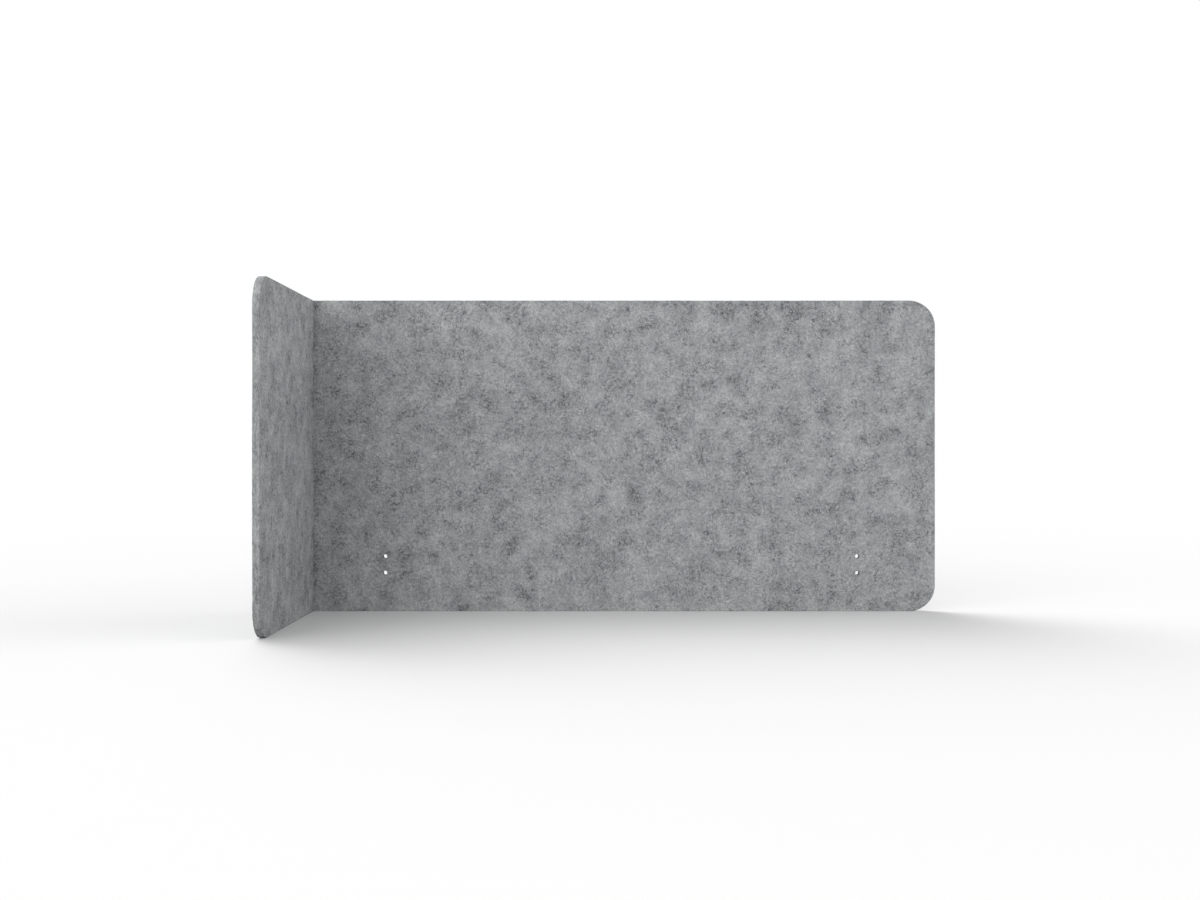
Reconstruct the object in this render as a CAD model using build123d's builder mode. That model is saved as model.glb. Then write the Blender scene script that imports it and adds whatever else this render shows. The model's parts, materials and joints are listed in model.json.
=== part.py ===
from build123d import *

import math
import os

# L-shaped acoustic divider screen, made from one board of pressed polyester felt.
# A V groove is routed down the inside of the board, through all but a thin skin. The board folds
# on that skin, so the groove's two walls meet as a mitre and the skin wraps the outer corner.
# Hook tape let into one wall grips the felt of the other and keeps the corner shut.
#
# Lengths are in millimetres. The origin is on the floor, at the middle of the folded screen's
# outer size. +X runs along the long panel, +Y points out of its back, +Z is up, and the wing
# comes forward, towards -Y, from the panel's left end.

# Board: its thickness, the clear lengths inside the L and its free corners
board_thickness = 12.0
inner_length = 1200.0
inner_depth = 400.0
screen_height = 600.0
corner_radius = 50.0
arris_radius = 0.6

# Fold: the skin left under the groove and the play round it
skin_thickness = 2.0
fold_clearance = 0.2
mitre_gap = 0.2

# Bolt holes: two upright pairs, at the same distance from each end of the long panel
hole_radius = 4.0
hole_spacing = 32.0
hole_pair_height = 90.0
hole_end_distance = 150.0

# Hook tape: three strips along the mitre, each let in flush
strip_length = 120.0
strip_thickness = 1.0
strip_margin = 1.0
strip_clearance = 0.2
strip_names = ("hook_strip_lower", "hook_strip_middle", "hook_strip_upper")
strip_height_shares = (1 / 6, 1 / 2, 5 / 6)

# Outer size and the places that follow from it
overall_length = inner_length + board_thickness
overall_depth = inner_depth + board_thickness
left_x = -overall_length / 2
right_x = overall_length / 2
front_y = -overall_depth / 2
back_y = overall_depth / 2
hole_column_spacing = overall_length - 2 * hole_end_distance

# The fold line stands one skin thickness inside both outer faces
fold_x = left_x + skin_thickness
fold_y = back_y - skin_thickness

# The mitre plane holds the fold line and the inner corner. It faces the long panel, its own X
# points up and its own Y points from the fold line to the inner corner.
mitre_plane = Plane(origin=(fold_x, fold_y, 0), x_dir=(0, 0, 1), z_dir=(1, 1, 0))
wing_mitre_plane = mitre_plane.offset(-mitre_gap)
mitre_inner_edge = (board_thickness - skin_thickness) * math.sqrt(2)
mitre_outer_edge = skin_thickness + fold_clearance
mitre_middle = (mitre_inner_edge + mitre_outer_edge) / 2
strip_width = mitre_inner_edge - mitre_outer_edge - 2 * strip_margin
strip_places = [(share * screen_height, mitre_middle) for share in strip_height_shares]

os.makedirs("parts", exist_ok=True)

# Section of the skin in its folded state: a round bead on the fold line, which reads the same
# folded and flat, run out square to meet the long panel
with BuildSketch() as skin_section:
    with Locations((fold_x, fold_y)):
        Circle(skin_thickness)
        Rectangle(skin_thickness, skin_thickness, align=(Align.MIN, Align.MIN))

# Skin that hinges the two leaves, standing the full height of the corner
with BuildPart() as hinge_skin:
    add(skin_section)
    extrude(amount=screen_height)

# Long panel: cut to its outline, eased along the cut edges, drilled, then mitred at the fold
with BuildPart() as main_panel:
    with BuildSketch(Plane.XZ.offset(-back_y)) as panel_outline:
        with Locations((fold_x, 0)):
            Rectangle(right_x - fold_x, screen_height, align=(Align.MIN, Align.MIN))
        fillet(panel_outline.vertices().group_by(Axis.X)[-1], radius=corner_radius)
    extrude(amount=board_thickness)
    panel_arrises = main_panel.faces().filter_by(Axis.Y).edges().group_by(Axis.X)[1:]
    fillet([edge for group in panel_arrises for edge in group], radius=arris_radius)
    with BuildSketch(Plane.XZ.offset(-back_y)):
        with Locations((0, hole_pair_height)):
            with GridLocations(hole_column_spacing, hole_spacing, 2, 2):
                Circle(hole_radius)
    extrude(amount=board_thickness, mode=Mode.SUBTRACT)
    split(bisect_by=mitre_plane, keep=Keep.TOP)
    add(skin_section)
    extrude(amount=screen_height, mode=Mode.SUBTRACT)

# Wing: the same board, mitred to match, hollowed round the skin and recessed for the hook tape
with BuildPart() as wing_panel:
    with BuildSketch(Plane.YZ.offset(left_x)) as wing_outline:
        with Locations((front_y, 0)):
            Rectangle(fold_y - front_y, screen_height, align=(Align.MIN, Align.MIN))
        fillet(wing_outline.vertices().group_by(Axis.X)[0], radius=corner_radius)
    extrude(amount=board_thickness)
    wing_arrises = wing_panel.faces().filter_by(Axis.X).edges().group_by(Axis.Y)[:-1]
    fillet([edge for group in wing_arrises for edge in group], radius=arris_radius)
    split(bisect_by=wing_mitre_plane, keep=Keep.BOTTOM)
    with BuildSketch():
        with Locations((fold_x, fold_y)):
            Circle(mitre_outer_edge)
    extrude(amount=screen_height, mode=Mode.SUBTRACT)
    with BuildSketch(wing_mitre_plane):
        with Locations(*strip_places):
            Rectangle(strip_length + 2 * strip_clearance, strip_width + 2 * strip_clearance)
    extrude(amount=-strip_thickness, mode=Mode.SUBTRACT)

for panel, name in ((main_panel, "main_panel"), (wing_panel, "wing_panel"), (hinge_skin, "hinge_skin")):
    panel.part.label = name
    export_step(panel.part, f"parts/{name}.step")

# Hook strips: each lies on the floor of its recess, flush with the wing's mitre face
for name, place in zip(strip_names, strip_places):
    with BuildPart() as hook_strip:
        with BuildSketch(wing_mitre_plane):
            with Locations(place):
                Rectangle(strip_length, strip_width)
        extrude(amount=-strip_thickness)
    hook_strip.part.label = name
    export_step(hook_strip.part, f"parts/{name}.step")
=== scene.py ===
import json
import math
import random

import bmesh
import bpy
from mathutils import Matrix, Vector, geometry, noise


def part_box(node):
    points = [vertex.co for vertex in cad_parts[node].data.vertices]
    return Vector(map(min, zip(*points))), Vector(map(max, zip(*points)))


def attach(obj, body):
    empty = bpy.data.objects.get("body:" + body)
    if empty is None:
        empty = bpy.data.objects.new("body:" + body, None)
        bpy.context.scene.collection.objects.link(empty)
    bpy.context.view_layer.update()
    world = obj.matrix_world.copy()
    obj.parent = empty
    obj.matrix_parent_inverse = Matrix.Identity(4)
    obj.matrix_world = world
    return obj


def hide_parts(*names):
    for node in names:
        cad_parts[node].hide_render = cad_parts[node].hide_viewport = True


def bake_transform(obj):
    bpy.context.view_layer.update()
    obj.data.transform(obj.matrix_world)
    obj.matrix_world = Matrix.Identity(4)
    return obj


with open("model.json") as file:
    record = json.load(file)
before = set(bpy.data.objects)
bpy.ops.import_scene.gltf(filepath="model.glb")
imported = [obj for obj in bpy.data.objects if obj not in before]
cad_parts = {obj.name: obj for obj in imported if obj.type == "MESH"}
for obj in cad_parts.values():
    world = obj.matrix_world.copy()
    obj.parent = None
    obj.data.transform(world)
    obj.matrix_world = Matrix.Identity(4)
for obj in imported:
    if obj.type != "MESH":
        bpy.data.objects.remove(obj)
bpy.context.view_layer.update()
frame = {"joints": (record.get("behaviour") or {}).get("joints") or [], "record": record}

# An L-shaped acoustic screen, folded from one board of pressed polyester felt. A V groove is routed
# down the inside of the board and leaves a thin skin, which is the hinge. Folded, the groove's two
# walls close as a mitre, and hook tape let into the wing's wall grips the felt of the other.
MM = 0.001
ROOT2 = math.sqrt(2)

# Places and sizes that the frame gives, in metres
panel_low, panel_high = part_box("main_panel")
wing_low, wing_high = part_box("wing_panel")
fold = next(joint for joint in frame["joints"] if joint["name"] == "wing_fold")
fold_x, fold_y, _ = fold["pos_m"]
bolt_pairs = [mount for mount in frame["record"]["mounts"] if mount["kind"] == "bolt_pattern"]
inner_x, inner_y = wing_high.x, panel_low.y
height = panel_high.z
thickness = panel_high.y - panel_low.y
skin = panel_high.y - fold_y
groove_depth = thickness - skin
panel_length = panel_high.x - fold_x
wing_length = fold_y - wing_low.y

# Sizes of the board's cut edges, corners and holes
CORNER_RADIUS = 50 * MM
ARRIS = 0.6 * MM
HOLE_RIM = 0.5 * MM
SUPPORT = 0.8 * MM
FOLD_END = 12 * MM

# The wing's half of the mitre stands this far back from the other, and holds the hook tape
MITRE_GAP = 0.2 * MM
TAPE_THICKNESS = 1.0 * MM
TAPE_PLAY = 0.2 * MM

# Fineness of the meshes
POINT_SPACING = 12 * MM
EDGE_SPACING = 2.5 * MM
CORNER_STEPS = 32
HOLE_STEPS = 40
ARRIS_STEPS = 4
FOLD_STEPS = 50
MERGE = 0.002 * MM
SMOOTH_BELOW = math.radians(35)

# How much darker the felt is, in shares of its tone: along an arris, where the knife's heat has fused the
# fibre closed; painted shade on the wall of a drilled hole;
# and painted shade on the inner faces near the fold's inner corner, where the two leaves shade each other
FUSED = 0.10
HOLE_WALL_PAINTED_SHADE = 0.45
CORNER_PAINTED_SHADE = 0.16
CORNER_SHADE_REACH = 16 * MM
CORNER_SHADE_COLUMNS = (0.25, 0.5, 0.75, 1.0)

# The board's unevenness, as the length and depth of its waves in millimetres, and the cut edge's
# own raggedness. Beside the fold, where the two leaves have to fit, the board is even. From half
# of this ease away, it grows uneven over the whole of it.
WAVES_MM = ((85, 0.25), (11, 0.06))
RAGGED_MM = (4, 0.3)
FOLD_EASE = 30 * MM

# How far the points inside a face are shaken, and how far they keep from its cuts
SHAKE_MM = 2
CLEAR_OF_CUTS = 3 * MM

SEED = 5

# The felt's three finishes, in the order in which a mesh holds their materials
FACE, CUT, ROUTED = range(3)


def linear(hex_colour):
    """An sRGB hex colour as linear RGBA."""
    values = [int(hex_colour[i : i + 2], 16) / 255 for i in (1, 3, 5)]
    return [v / 12.92 if v <= 0.04045 else ((v + 0.055) / 1.055) ** 2.4 for v in values] + [1.0]


def add_node(tree, kind, inputs=(), **settings):
    """Adds a node with its settings, and gives its sockets values or links."""
    node = tree.nodes.new(kind)
    for name, value in settings.items():
        setattr(node, name, value)
    for socket, value in dict(inputs).items():
        if isinstance(value, bpy.types.NodeSocket):
            tree.links.new(value, node.inputs[socket])
        else:
            node.inputs[socket].default_value = value
    return node


def new_tree(block):
    """The node tree of a material or a world, emptied."""
    block.use_nodes = True
    block.node_tree.nodes.clear()
    return block.node_tree


# Pressed polyester felt
# Crimped fibres of a few greys are carded together, needled and hot pressed into a stiff board. The
# eye sees a matt mid-grey with soft darker tufts, curly dark wisps drawn into them, and a fine
# speckle of lighter and darker fibre. Patterns are laid in millimetres of the flat, unfolded board,
# so they run on round the fold. Single fibres are a twentieth of a millimetre, too fine to show, so
# the finest curls here are strands of many fibres.
CLOUD_MM = 95
TUFT_MM = 34
GATHER_MM = 26
WISP_MM = 10
STRAND_MM = 5
SPECKLE_MM = 5.5
CURL_MM = 11
CURL_REACH_MM = 14

# How much of the felt's tone each layer of the pattern makes
CLOUD_SHARE = 0.28
TUFT_SHARE = 0.70
GATHER_SHARE = 0.05
GRAIN_SHARE = 1.35

# Where the noises count as a tuft and as a strand at the surface, from none to wholly
TUFTED = {"From Min": 0.40, "From Max": 0.68}
SURFACED = {"From Min": 0.42, "From Max": 0.54}

# Where the crest of a ridged noise starts as a line, for each kind of curl, and where it is full
WISP_CREST = 0.72
DARK_STRAND_CREST = 0.75
LIGHT_STRAND_CREST = 0.78
FULL_CREST = 0.97

# Steps from one kind of curl to the next in the same noise, so that they don't coincide
DARK_STRAND_STEP_MM = 31
LIGHT_STRAND_STEP_MM = 77

# Strength of the grain between the tufts, and what a tuft adds to it
SMOOTH_GRAIN = 0.85
TUFTED_GRAIN = 0.30

# How high a light strand stands, against the speckle
STRAND_RELIEF = 0.15

# Where on the roll of felt the board is cut out
ROLL_START_MM = (5100, 0, 2700)
FELT_DARK = "#494b4e"
FELT_LIGHT = "#c0c2c3"


def curls(tree, place, size, crest_start, step, shown):
    """Thin curling lines along the crests of a noise, where shown is 1."""
    moved = add_node(tree, "ShaderNodeVectorMath", {0: place, 1: (step, step, step)})
    crest = add_node(
        tree,
        "ShaderNodeTexNoise",
        {"Vector": moved.outputs[0], "Scale": 1 / size, "Detail": 0.0, "Offset": 1.0},
        noise_type="RIDGED_MULTIFRACTAL",
        normalize=False,
    )
    line = add_node(
        tree,
        "ShaderNodeMapRange",
        {"Value": crest.outputs[0], "From Min": crest_start, "From Max": FULL_CREST},
        interpolation_type="SMOOTHSTEP",
    )
    return add_node(tree, "ShaderNodeMath", {0: line.outputs[0], 1: shown}, operation="MULTIPLY").outputs[0]


def roll_place(tree, lay):
    """Where a point lies on the roll of felt, in millimetres."""
    board = add_node(tree, "ShaderNodeAttribute", attribute_name="board_mm").outputs["Vector"]
    place = {0: board, 1: lay, 2: ROLL_START_MM}
    return add_node(tree, "ShaderNodeVectorMath", place, operation="MULTIPLY_ADD").outputs[0]


def fibres(tree, laid):
    """Tufts, and the curls drawn into the felt: wisps, dark strands and light strands."""
    wander = add_node(tree, "ShaderNodeTexNoise", {"Vector": laid, "Scale": 1 / CURL_MM, "Detail": 1.0})
    drawn = {0: wander.outputs["Color"], 1: (CURL_REACH_MM, CURL_REACH_MM, CURL_REACH_MM), 2: laid}
    curled = add_node(tree, "ShaderNodeVectorMath", drawn, operation="MULTIPLY_ADD").outputs[0]
    gather = add_node(tree, "ShaderNodeTexNoise", {"Vector": curled, "Scale": 1 / GATHER_MM, "Detail": 1.0})

    # Wisps show in the tufts. Strands dive into the board and come up again, so their lines are broken.
    diving = add_node(tree, "ShaderNodeSeparateXYZ", {0: wander.outputs["Color"]}).outputs
    soft_patches = (
        {"Value": gather.outputs[0], **TUFTED},
        {"Value": diving[0], **SURFACED},
        {"Value": diving[1], **SURFACED},
    )
    tufts, dark_up, light_up = (
        add_node(tree, "ShaderNodeMapRange", values, interpolation_type="SMOOTHSTEP").outputs[0]
        for values in soft_patches
    )
    wisps = curls(tree, curled, WISP_MM, WISP_CREST, 0, tufts)
    dark_strands = curls(tree, curled, STRAND_MM, DARK_STRAND_CREST, DARK_STRAND_STEP_MM, dark_up)
    light_strands = curls(tree, curled, STRAND_MM, LIGHT_STRAND_CREST, LIGHT_STRAND_STEP_MM, light_up)
    return tufts, wisps, dark_strands, light_strands


def grained(tree, speckle, tufts):
    """Grain that is sharper where the tufts gather, and softer on the smooth felt between them."""
    even = add_node(tree, "ShaderNodeMath", {0: speckle, 1: 0.5}, operation="SUBTRACT").outputs[0]
    swell = {0: tufts, 1: TUFTED_GRAIN, 2: SMOOTH_GRAIN}
    swell = add_node(tree, "ShaderNodeMath", swell, operation="MULTIPLY_ADD").outputs[0]
    return add_node(tree, "ShaderNodeMath", {0: even, 1: swell}, operation="MULTIPLY").outputs[0]


def layered(tree, middle_tone, layers):
    """A tone that layers swing about its middle. Each layer is its value, share and own middle."""
    tone = middle_tone - sum(share * middle for _, share, middle in layers)
    for value, share, _ in layers:
        sum_so_far = {0: value, 1: share, 2: tone}
        tone = add_node(tree, "ShaderNodeMath", sum_so_far, operation="MULTIPLY_ADD").outputs[0]
    return tone


def carded(tree, laid, middle_tone, wisp_share, strand_share):
    """The tone of the carded fibres, and how high they stand."""
    noises = (
        {"Vector": laid, "Scale": 1 / CLOUD_MM, "Detail": 1.0},
        {"Vector": laid, "Scale": 1 / TUFT_MM, "Detail": 2.0, "Roughness": 0.7},
        {"Vector": laid, "Scale": 1 / SPECKLE_MM, "Detail": 2.0, "Roughness": 1.0},
    )
    cloud, mottle, speckle = (add_node(tree, "ShaderNodeTexNoise", values).outputs[0] for values in noises)
    tufts, wisps, dark_strands, light_strands = fibres(tree, laid)
    layers = (
        (cloud, CLOUD_SHARE, 0.5),
        (mottle, TUFT_SHARE, 0.5),
        (grained(tree, speckle, tufts), GRAIN_SHARE, 0.0),
        (tufts, -GATHER_SHARE, 0.0),
        (wisps, -wisp_share, 0.0),
        (dark_strands, -strand_share, 0.0),
        (light_strands, strand_share, 0.0),
    )
    raised = {0: light_strands, 1: STRAND_RELIEF, 2: speckle}
    raised = add_node(tree, "ShaderNodeMath", raised, operation="MULTIPLY_ADD").outputs[0]
    return layered(tree, middle_tone, layers), raised


def felt(name, lay, middle_tone, wisp_share, strand_share, relief, fuzz):
    """Felt. lay squeezes the pattern along the board, through it and up it."""
    material = bpy.data.materials.new(name)
    tree = new_tree(material)
    tone, raised = carded(tree, roll_place(tree, lay), middle_tone, wisp_share, strand_share)
    # Darker where closed says: fused arrises, and painted shade in the holes and near the fold's inner
    # corner
    closed = add_node(tree, "ShaderNodeAttribute", attribute_name="closed").outputs["Fac"]
    tone = add_node(tree, "ShaderNodeMath", {0: tone, 1: closed}, operation="SUBTRACT")
    ramp = add_node(tree, "ShaderNodeValToRGB", {"Fac": tone.outputs[0]})
    ramp.color_ramp.elements[0].color = linear(FELT_DARK)
    ramp.color_ramp.elements[1].color = linear(FELT_LIGHT)
    bump = add_node(tree, "ShaderNodeBump", {"Height": raised, "Distance": relief, "Strength": 1.0})
    surface = {
        "Base Color": ramp.outputs[0],
        "Normal": bump.outputs[0],
        "Roughness": 0.95,
        "IOR": 1.57,
        "Specular IOR Level": 0.1,
        "Sheen Weight": fuzz,
        "Sheen Roughness": 0.3,
    }
    shader = add_node(tree, "ShaderNodeBsdfPrincipled", surface)
    add_node(tree, "ShaderNodeOutputMaterial", {"Surface": shader.outputs[0]})
    return material


# The pressed face shows the whole pattern and lies flat, with no fuzz. A cut edge is crossed by the
# board's flat layers, so there the pattern is squeezed through the thickness and drawn out along
# the cut, and the open fibre ends are a little lighter, rougher and fuzzy. A routed wall is between.
felts = (
    felt(
        "pressed_polyester_felt",
        lay=(1, 1, 1),
        middle_tone=0.50,
        wisp_share=0.17,
        strand_share=0.16,
        relief=1.2 * MM,
        fuzz=0.0,
    ),
    felt(
        "knife_cut_polyester_felt",
        lay=(0.7, 2.2, 0.7),
        middle_tone=0.55,
        wisp_share=0.12,
        strand_share=0.20,
        relief=2.0 * MM,
        fuzz=0.15,
    ),
    felt(
        "routed_polyester_felt",
        lay=(0.8, 2.0, 0.8),
        middle_tone=0.52,
        wisp_share=0.10,
        strand_share=0.20,
        relief=2.0 * MM,
        fuzz=0.10,
    ),
)


# Moulded nylon hook tape
# Nylon is moulded with its hooks in one piece. It is dark and even, with a soft gloss that glints
# on the small round hooks.
NYLON_CLOUD = 3 * MM
NYLON_DARK = "#222427"
NYLON_LIGHT = "#34373b"


def hook_nylon():
    """Dark moulded nylon, faintly clouded."""
    material = bpy.data.materials.new("moulded_nylon")
    tree = new_tree(material)
    place = add_node(tree, "ShaderNodeTexCoord").outputs["Object"]
    clouding = {"Vector": place, "Scale": 1 / NYLON_CLOUD, "Detail": 2.0}
    clouding = add_node(tree, "ShaderNodeTexNoise", clouding)
    ramp = add_node(tree, "ShaderNodeValToRGB", {"Fac": clouding.outputs[0]})
    ramp.color_ramp.elements[0].color = linear(NYLON_DARK)
    ramp.color_ramp.elements[1].color = linear(NYLON_LIGHT)
    shader = add_node(
        tree, "ShaderNodeBsdfPrincipled", {"Base Color": ramp.outputs[0], "Roughness": 0.42, "IOR": 1.53}
    )
    add_node(tree, "ShaderNodeOutputMaterial", {"Surface": shader.outputs[0]})
    return material


nylon = hook_nylon()


# Felt board, in its own lengths: u along from the fold line, d in from the inner face, z up

# Length of the outer face round the bend, where the skin turns on its own thickness
BEND = skin * math.pi / 2


def on_panel(u, d, z):
    return Vector((fold_x + u, inner_y + d, z))


def on_wing(u, d, z):
    return Vector((inner_x - d, fold_y - u, z))


def round_fold(u, d, z):
    """From the long panel, where u is above 0, round the bend and along the wing."""
    if u >= 0:
        return on_panel(u, d, z)
    if u <= -BEND:
        return on_wing(-BEND - u, d, z)
    turn = -u / skin
    reach = d - groove_depth
    return Vector((fold_x - reach * math.sin(turn), fold_y + reach * math.cos(turn), z))


def clamp(value):
    return max(0.0, min(1.0, value))


class Board:
    """A mesh of felt board. Its corners know their place in the flat board and how much darker the felt is:
    fused at an arris, with painted shade in a hole and near the fold's inner corner.

    way and start lay its own u along the flat board. gap is how far off the fold line its mitre starts.
    """

    def __init__(self, name, place, length, way=1, start=0.0, holes=(), gap=0.0):
        self.name, self.place, self.length = name, place, length
        self.way, self.start, self.holes, self.gap = way, start, holes, gap
        self.mesh = bmesh.new()
        self.board_mm = self.mesh.verts.layers.float_vector.new("board_mm")
        # closed holds how much darker the felt is: fused at an arris, and painted shade in holes and near
        # the fold's inner corner
        self.closed = self.mesh.verts.layers.float.new("closed")

    def hole_inset(self, u, z):
        """How far a point lies outside the nearest hole, up to the corners' radius."""
        gaps = [math.hypot(u - hole_u, z - hole_z) - radius for hole_u, hole_z, radius in self.holes]
        return min(gaps + [CORNER_RADIUS])

    def inset(self, u, z):
        """How far a point lies inside the nearest cut, up to the corners' radius."""
        over_u = max(0.0, u - (self.length - CORNER_RADIUS))
        over_z = max(0.0, abs(z - height / 2) - (height / 2 - CORNER_RADIUS))
        return min(CORNER_RADIUS - math.hypot(over_u, over_z), self.hole_inset(u, z))

    def closure_and_painted_shade(self, u, d, z):
        """How much darker the felt is: fused along an arris, and painted shade on a hole's wall and near
        the fold's inner corner.
        """
        beside_cut = clamp((ARRIS + SUPPORT - self.inset(u, z)) / SUPPORT)
        arris = beside_cut * clamp(1 - min(d, thickness - d) / ARRIS)
        # Painted shade: the walls of the holes and the inner faces near the fold are darkened for the shade
        # that falls into them
        hole = clamp(1 - self.hole_inset(u, z) / HOLE_RIM)
        crease = 0.0 if d else clamp(1 - (u - self.gap - groove_depth) / CORNER_SHADE_REACH) ** 2
        return max(FUSED * arris, HOLE_WALL_PAINTED_SHADE * hole, CORNER_PAINTED_SHADE * crease)

    def corner(self, u, d, z):
        """A corner of the mesh. Away from the fold it shifts a little, as pressed felt is never even."""
        flat = Vector((self.start + self.way * u, d, z)) / MM
        uneven = Vector()
        for wave, depth in WAVES_MM:
            uneven += noise.noise_vector(flat / wave) * depth
        wave, depth = RAGGED_MM
        uneven += noise.noise_vector(flat / wave) * depth * clamp(1 - self.inset(u, z) / SUPPORT)
        corner = self.mesh.verts.new(self.place(u, d, z) + uneven * MM * clamp(u / FOLD_EASE - 0.5))
        corner.co.z = max(0.0, corner.co.z)
        corner[self.board_mm] = flat
        corner[self.closed] = self.closure_and_painted_shade(u, d, z)
        return corner

    def face(self, points, finish):
        self.mesh.faces.new([self.corner(*point) for point in points]).material_index = finish

    def strips(self, rings, finish, closed=False):
        """Faces between each ring of points and the next."""
        for ring, beyond in zip(rings, rings[1:]):
            for i in range(len(ring) - (0 if closed else 1)):
                k = (i + 1) % len(ring)
                self.face((ring[i], ring[k], beyond[k], beyond[i]), finish)

    def patch(self, loops, inside, lift, finish):
        """Triangles over a flat patch with holes. lift turns its points into (u, d, z)."""
        points, edges, loop_of = [], [], []
        for number, loop in enumerate(loops):
            first = len(points)
            points += [Vector(point) for point in loop]
            edges += [(first + i, first + (i + 1) % len(loop)) for i in range(len(loop))]
            loop_of += [number] * len(loop)
        points += [Vector(point) for point in inside]
        loop_of += [0] * len(inside)
        found, _, triangles, sources, _, _ = geometry.delaunay_2d_cdt(points, edges, [], 1, MERGE / 10)
        for triangle in triangles:
            met = {loop_of[sources[i][0]] for i in triangle}
            # Every hole is convex, so a triangle with all its corners on one lies in it
            if len(met) > 1 or 0 in met:
                self.face([lift(*found[i]) for i in triangle], finish)

    def piece(self, *nodes):
        """Closes the mesh and makes it a piece of the scene, in place of its nodes."""
        bmesh.ops.remove_doubles(self.mesh, verts=self.mesh.verts, dist=MERGE)
        made = new_piece(self.name, self.mesh, felts, SMOOTH_BELOW)
        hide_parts(*nodes)
        return made


def new_piece(name, mesh, materials, smooth_below):
    """Makes a mesh an object of the scene, smooth where its faces turn by less than smooth_below."""
    bmesh.ops.recalc_face_normals(mesh, faces=mesh.faces)
    data = bpy.data.meshes.new(name)
    mesh.to_mesh(data)
    mesh.free()
    data.shade_smooth()
    data.set_sharp_from_angle(angle=smooth_below)
    for material in materials:
        data.materials.append(material)
    made = bpy.data.objects.new(name, data)
    bpy.context.scene.collection.objects.link(made)
    return made


# Section of a cut through the board, as (inset, depth): round at each face and straight between
quarter = [math.pi / 2 * i / ARRIS_STEPS for i in range(ARRIS_STEPS + 1)]
arris_round = [(ARRIS * (1 - math.sin(a)), ARRIS * (1 - math.cos(a))) for a in quarter]
rim_round = [(HOLE_RIM * (1 - math.sin(a)), HOLE_RIM * (1 - math.cos(a))) for a in quarter]


def through(rounding):
    """The section of a whole cut, with the same rounding at both faces."""
    reach = rounding[-1][1] + SUPPORT
    straight = [(0.0, d) for d in (reach, thickness / 2, thickness - reach)]
    return rounding + straight + [(inset, thickness - d) for inset, d in reversed(rounding)]


edge_section = through(arris_round)
hole_section = through(rim_round)
outer_arris = edge_section[-len(arris_round) :]


def spread(start, end, spacing):
    """Even steps from start up to, but not on, end."""
    steps = math.ceil(abs(end - start) / spacing)
    return [start + (end - start) * i / steps for i in range(steps)]


def outline(length, inset):
    """The leaf's cut edge, out from the fold along its foot, round both corners and back at its head."""
    radius = CORNER_RADIUS - inset
    far = length - CORNER_RADIUS
    turns = [math.pi / 2 * i / CORNER_STEPS for i in range(CORNER_STEPS)]
    low, high = CORNER_RADIUS, height - CORNER_RADIUS
    points = [(u, inset) for u in spread(FOLD_END, far, EDGE_SPACING)]
    points += [(far + radius * math.sin(a), low - radius * math.cos(a)) for a in turns]
    points += [(length - inset, z) for z in spread(low, high, EDGE_SPACING)]
    points += [(far + radius * math.cos(a), high + radius * math.sin(a)) for a in turns]
    points += [(u, height - inset) for u in spread(far, FOLD_END, EDGE_SPACING)]
    return points + [(FOLD_END, height - inset)]


def circle(centre_u, centre_z, radius):
    """Points round a hole."""
    turns = [math.tau * i / HOLE_STEPS for i in range(HOLE_STEPS)]
    return [(centre_u + radius * math.cos(a), centre_z + radius * math.sin(a)) for a in turns]


fold_heights = [height * i / FOLD_STEPS for i in range(1, FOLD_STEPS)]


def board_face(board, d, start):
    """One pressed face, from the fold at start to the rounding of its cut edge."""
    edge = outline(board.length, ARRIS)
    fold_side = [(start, z) for z in reversed(fold_heights)]
    loops = [[(start, ARRIS)] + edge + [(start, height - ARRIS)] + fold_side]
    inside = outline(board.length, ARRIS + SUPPORT)
    for hole_u, hole_z, radius in board.holes:
        loops.append(circle(hole_u, hole_z, radius + HOLE_RIM))
        inside += circle(hole_u, hole_z, radius + HOLE_RIM + SUPPORT)
    # Points across the painted shade near the fold, so that its fall-off is smooth
    inside += [(start + CORNER_SHADE_REACH * share, z) for share in CORNER_SHADE_COLUMNS for z in fold_heights]
    for u in spread(start + CORNER_SHADE_REACH + POINT_SPACING / 2, board.length, POINT_SPACING):
        for z in spread(POINT_SPACING / 2, height, POINT_SPACING):
            loose_u = u + random.uniform(-SHAKE_MM, SHAKE_MM) * MM
            loose_z = z + random.uniform(-SHAKE_MM, SHAKE_MM) * MM
            if board.inset(loose_u, loose_z) > CLEAR_OF_CUTS:
                inside.append((loose_u, loose_z))
    board.patch(loops, inside, lambda u, z: (u, d, z), FACE)


def fold_ends(board):
    """The board's foot and head beside the fold, with the notch that the skin fills."""
    for end, up in ((0.0, 1), (height, -1)):
        # The inner arris runs in to the mitre, and the outer one to the skin
        for (inset, d), (next_inset, next_d) in zip(edge_section, edge_section[1:]):
            if next_d <= ARRIS + MERGE:
                start, next_start = board.gap + groove_depth - d, board.gap + groove_depth - next_d
            elif d >= thickness - ARRIS - MERGE:
                start = next_start = skin
            else:
                continue
            z, next_z = end + up * inset, end + up * next_inset
            near_side = ((start, d, z), (FOLD_END, d, z))
            far_side = ((FOLD_END, next_d, next_z), (next_start, next_d, next_z))
            board.face(near_side + far_side, CUT)

        # The flat of the edge between them
        flat = [(FOLD_END, d) for inset, d in edge_section if inset < MERGE]
        notch = [(skin, thickness - ARRIS), (skin, groove_depth), (board.gap, groove_depth)]
        notch += [(board.gap + groove_depth - ARRIS, ARRIS)]
        board.face([(u, d, end) for u, d in flat + notch], CUT)


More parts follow.
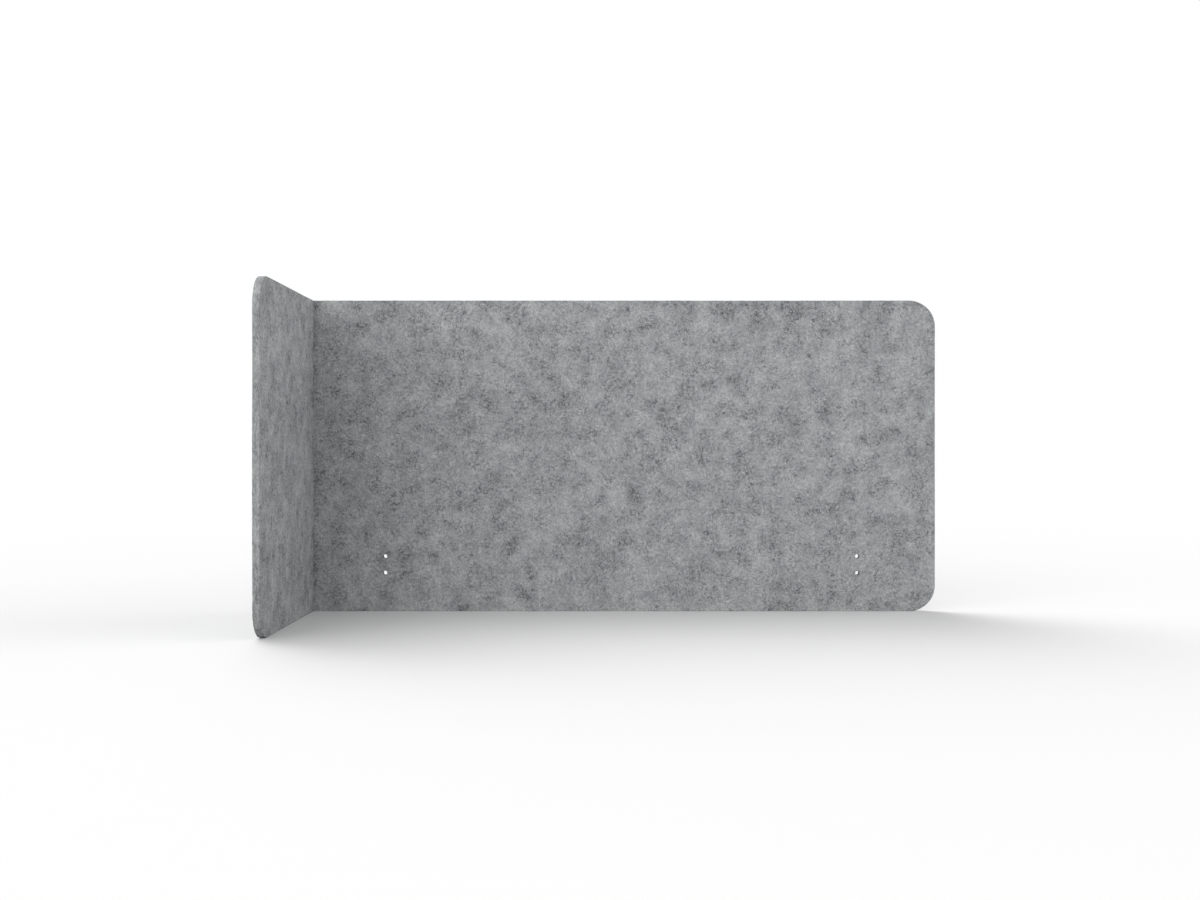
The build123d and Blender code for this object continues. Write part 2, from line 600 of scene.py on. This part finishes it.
def mitre(board, recesses):
    """The groove's slanted wall, from the fold line to the inner corner, and the notch behind it."""

    def lift(s, z):
        return board.gap + s / ROOT2, groove_depth - s / ROOT2, z

    width = groove_depth * ROOT2
    foot = [(width - d * ROOT2, inset) for inset, d in reversed(arris_round)]
    head = [(s, height - z) for s, z in reversed(foot)]
    loops = [[(0.0, 0.0)] + foot + [(width, z) for z in fold_heights] + head + [(0.0, height)]]
    for low_s, high_s, low_z, high_z in recesses:
        loops.append([(low_s, low_z), (high_s, low_z), (high_s, high_z), (low_s, high_z)])
    board.patch(loops, [], lift, ROUTED)
    sink = TAPE_THICKNESS / ROOT2
    for recess in loops[1:]:
        rim = [lift(*point) for point in recess]
        floor = [(u + sink, d + sink, z) for u, d, z in rim]
        board.strips([rim, floor], ROUTED, closed=True)
        board.face(floor, ROUTED)

    step = ((board.gap, 0.0), (skin, 0.0), (skin, height), (board.gap, height))
    board.face([(u, groove_depth, z) for u, z in step], ROUTED)
    notch_wall(board, skin)


def notch_wall(board, u):
    """The upright wall between a leaf and the skin."""
    foot = [(d, inset) for inset, d in outer_arris]
    head = [(d, height - z) for d, z in reversed(foot)]
    face_side = [(thickness, z) for z in fold_heights]
    wall = [(groove_depth, 0.0)] + foot + face_side + head + [(groove_depth, height)]
    board.face([(u, d, z) for d, z in wall], ROUTED)


def leaf(board, recesses=()):
    """Fills in one stiff leaf of the screen."""
    rings = [[(u, d, z) for u, z in outline(board.length, inset)] for inset, d in edge_section]
    board.strips(rings, CUT)
    board_face(board, 0.0, board.gap + groove_depth)
    board_face(board, thickness, skin)
    fold_ends(board)
    mitre(board, recesses)
    for hole_u, hole_z, radius in board.holes:
        rings = [[(u, d, z) for u, z in circle(hole_u, hole_z, radius + wide)] for wide, d in hole_section]
        board.strips(rings, CUT, closed=True)


random.seed(SEED)
noise.seed_set(SEED)

# Two upright pairs of plain holes, for a bracket's bolts
holes = []
for pair in bolt_pairs:
    reach = pair["dims"]["spacing_y_mm"] * MM / 2
    for z in (pair["pos_m"][2] - reach, pair["pos_m"][2] + reach):
        holes.append((pair["pos_m"][0] - fold_x, z, pair["dims"]["hole_r_mm"] * MM))

# Where the hook tape lies on the wing's half of the mitre, as low and high s and z
tape_nodes = ("hook_strip_lower", "hook_strip_middle", "hook_strip_upper")
tapes = []
for node in tape_nodes:
    low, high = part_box(node)
    tapes.append(((low.x - fold_x) * ROOT2 + TAPE_THICKNESS, (high.x - fold_x) * ROOT2, low.z, high.z))

long_panel = Board("long_panel_felt", on_panel, panel_length, holes=holes)
leaf(long_panel)
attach(long_panel.piece("main_panel"), "long_panel")

wing = Board("wing_felt", on_wing, wing_length, way=-1, start=-BEND, gap=MITRE_GAP * ROOT2)
leaf(wing, [(s0 - TAPE_PLAY, s1 + TAPE_PLAY, z0 - TAPE_PLAY, z1 + TAPE_PLAY) for s0, s1, z0, z1 in tapes])
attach(wing.piece("wing_panel"), "wing")


def corner_skin(board):
    """The felt that wraps the outer corner and fills both notches."""
    path = (skin, 0.0, -BEND / 2, -BEND, -BEND - skin)
    foot = [(d, inset) for inset, d in outer_arris]
    head = [(d, height - z) for d, z in reversed(foot)]
    straight = [foot[-1], (thickness, ARRIS + SUPPORT)]
    straight += [(thickness, z) for z in fold_heights] + [(thickness, height - ARRIS - SUPPORT), head[0]]
    for column, finish in ((foot, CUT), (straight, FACE), (head, CUT)):
        board.strips([[(u, d, z) for u in path] for d, z in column], finish)
    for z in (0.0, height):
        outer = [(u, thickness - ARRIS, z) for u in path]
        inner = [(u, groove_depth, z) for u in (path[-1], 0.0, skin)]
        board.face(outer + inner, CUT)
    for u, near in ((skin, 0.0), (path[-1], -BEND)):
        step = ((u, 0.0), (near, 0.0), (near, height), (u, height))
        board.face([(step_u, groove_depth, z) for step_u, z in step], ROUTED)
        wall = [(groove_depth, 0.0)] + foot + straight[1:-1] + head + [(groove_depth, height)]
        board.face([(u, d, z) for d, z in wall], ROUTED)


skin_board = Board("corner_skin_felt", round_fold, panel_length)
corner_skin(skin_board)
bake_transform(skin_board.piece("hinge_skin"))


# Hook tape, three strips let flush into the wing's half of the mitre. Real hooks are about half as
# large, too fine to see, so these are drawn coarser.
HOOK_BASE = 0.42 * MM
HOOK_WIDTH = 0.3 * MM
HOOK_PITCH = 1.6 * MM
HOOK_ROW = 1.35 * MM
HOOK_SMOOTH_BELOW = math.radians(60)

# Profile of a hook, as how far along the way it faces and how high off the base of the tape
HOOK_SHAPE_MM = (
    (-0.30, 0.00),
    (0.20, 0.00),
    (0.08, 0.20),
    (0.11, 0.32),
    (0.22, 0.35),
    (0.33, 0.25),
    (0.43, 0.29),
    (0.36, 0.46),
    (0.14, 0.54),
    (-0.10, 0.44),
    (-0.17, 0.20),
)


def hook_tape(node, low_s, high_s, low_z, high_z):
    """One strip of tape, a flat back with rows of hooks that face up and down by turns."""
    mesh = bmesh.new()

    def corner(s, z, raised):
        along = MITRE_GAP * ROOT2 + (s + TAPE_THICKNESS - raised) / ROOT2
        return mesh.verts.new(on_wing(along, groove_depth + (TAPE_THICKNESS - raised - s) / ROOT2, z))

    def bar(profile, start, end):
        """A solid with one profile, as (z, height off the tape's back), from one s to another."""
        ends = [[corner(s, z, raised) for z, raised in profile] for s in (start, end)]
        mesh.faces.new(ends[0])
        mesh.faces.new(ends[1])
        for i in range(len(profile)):
            mesh.faces.new((ends[0][i - 1], ends[0][i], ends[1][i], ends[1][i - 1]))

    bar([(low_z, 0.0), (high_z, 0.0), (high_z, HOOK_BASE), (low_z, HOOK_BASE)], low_s, high_s)
    rows = int((high_s - low_s) / HOOK_ROW)
    for row in range(rows):
        middle = low_s + (high_s - low_s) * (row + 0.5) / rows
        facing = 1 if row % 2 else -1
        for z in spread(low_z + HOOK_PITCH / 2, high_z, HOOK_PITCH):
            profile = [(z + facing * along * MM, HOOK_BASE + up * MM) for along, up in HOOK_SHAPE_MM]
            bar(profile, middle - HOOK_WIDTH / 2, middle + HOOK_WIDTH / 2)
    made = new_piece(node.replace("strip", "tape"), mesh, [nylon], HOOK_SMOOTH_BELOW)
    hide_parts(node)
    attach(made, "wing")


for node, tape in zip(tape_nodes, tapes):
    hook_tape(node, *tape)


# Studio: a wide pale floor under soft boxes

# Tone of the floor, as seen and as it lights the screen from below. It sends little light up, so
# the shadow in front of the screen doesn't darken the screen's own foot.
FLOOR_SEEN = "#d8d8d8"
FLOOR_LIGHT = "#959595"

# Half the floor's width, and how far off it starts to lighten and is white, in metres
FLOOR_REACH = 20
FADE_START = 1.2
FADE_END = 5.0


def seen_rays(tree):
    """1 for the rays that show the background: to the camera, and in gloss or glass."""
    rays = add_node(tree, "ShaderNodeLightPath").outputs
    seen = rays["Is Camera Ray"]
    for kind in ("Is Glossy Ray", "Is Transmission Ray"):
        seen = add_node(tree, "ShaderNodeMath", {0: seen, 1: rays[kind]}, operation="MAXIMUM").outputs[0]
    return seen


def studio_floor():
    """Matt pale paint. Far off, it lightens to the camera until it meets the white background."""
    material = bpy.data.materials.new("matt_pale_paint")
    tree = new_tree(material)
    seen = seen_rays(tree)
    grey = {"Value": seen, "To Min": linear(FLOOR_LIGHT)[0], "To Max": linear(FLOOR_SEEN)[0]}
    tone = add_node(tree, "ShaderNodeMapRange", grey)
    paint = add_node(tree, "ShaderNodeBsdfDiffuse", {"Color": tone.outputs[0]})
    place = add_node(tree, "ShaderNodeNewGeometry").outputs["Position"]
    away = add_node(tree, "ShaderNodeVectorMath", {0: place}, operation="LENGTH")
    far = add_node(
        tree,
        "ShaderNodeMapRange",
        {"Value": away.outputs["Value"], "From Min": FADE_START, "From Max": FADE_END},
        interpolation_type="SMOOTHSTEP",
    )
    share = add_node(tree, "ShaderNodeMath", {0: far.outputs[0], 1: seen}, operation="MULTIPLY")
    white = add_node(tree, "ShaderNodeEmission", {"Color": (1, 1, 1, 1), "Strength": 1.0})
    shaders = {0: share.outputs[0], 1: paint.outputs[0], 2: white.outputs[0]}
    mixed = add_node(tree, "ShaderNodeMixShader", shaders)
    add_node(tree, "ShaderNodeOutputMaterial", {"Surface": mixed.outputs[0]})
    mesh = bmesh.new()
    bmesh.ops.create_grid(mesh, x_segments=1, y_segments=1, size=FLOOR_REACH)
    new_piece("studio_floor", mesh, [material], SMOOTH_BELOW)


# Soft boxes round the set, as bearing from the long panel's back, elevation, narrowness and strength.
# The first is the main light, and throws the soft shadows forward and to the right.
SOFT_BOXES = (
    (321, 45, 8, 5.76),
    (225, 5, 4, 2.87),
    (180, 5, 4, 1.56),
    (135, 5, 4, 0.58),
    (90, 5, 4, 3.11),
)


def soft_boxes():
    """Broad soft light from a few sides. The camera sees plain white in its place."""
    world = bpy.data.worlds.new("soft_boxes")
    bpy.context.scene.world = world
    tree = new_tree(world)
    way = add_node(tree, "ShaderNodeTexCoord").outputs["Generated"]
    total = 0.0
    for bearing, elevation, narrowness, strength in SOFT_BOXES:
        turn, rise = math.radians(bearing), math.radians(elevation)
        toward = (math.sin(turn) * math.cos(rise), math.cos(turn) * math.cos(rise), math.sin(rise))
        facing = add_node(tree, "ShaderNodeVectorMath", {0: way, 1: toward}, operation="DOT_PRODUCT")
        ahead = add_node(tree, "ShaderNodeMath", {0: facing.outputs["Value"], 1: 0.0}, operation="MAXIMUM")
        beam = add_node(tree, "ShaderNodeMath", {0: ahead.outputs[0], 1: narrowness}, operation="POWER")
        total = add_node(
            tree, "ShaderNodeMath", {0: beam.outputs[0], 1: strength, 2: total}, operation="MULTIPLY_ADD"
        ).outputs[0]
    soft = add_node(tree, "ShaderNodeBackground", {"Color": (1, 1, 1, 1), "Strength": total})
    white = add_node(tree, "ShaderNodeBackground", {"Color": (1, 1, 1, 1), "Strength": 1.0})
    shaders = {0: seen_rays(tree), 1: soft.outputs[0], 2: white.outputs[0]}
    mixed = add_node(tree, "ShaderNodeMixShader", shaders)
    add_node(tree, "ShaderNodeOutputWorld", {"Surface": mixed.outputs[0]})


# Camera, level and square to the long panel, placed by the photograph's scale and horizon
CAMERA_PLACE_MM = (-40.8, -2322.2, 311.4)
FOCAL_PIXELS = 1302.7
FRAME_PIXELS = 1200
SENSOR_MM = 36


def photo_camera():
    """Looks along +Y, with its lens given by the photograph's focal length in pixels."""
    data = bpy.data.cameras.new("camera")
    data.sensor_width = SENSOR_MM
    data.lens = FOCAL_PIXELS * SENSOR_MM / FRAME_PIXELS
    camera = bpy.data.objects.new("camera", data)
    camera.location = Vector(CAMERA_PLACE_MM) * MM
    camera.rotation_euler = (math.pi / 2, 0, 0)
    bpy.context.scene.collection.objects.link(camera)
    bpy.context.scene.camera = camera


studio_floor()
soft_boxes()
photo_camera()
bpy.context.scene.view_settings.view_transform = "Standard"
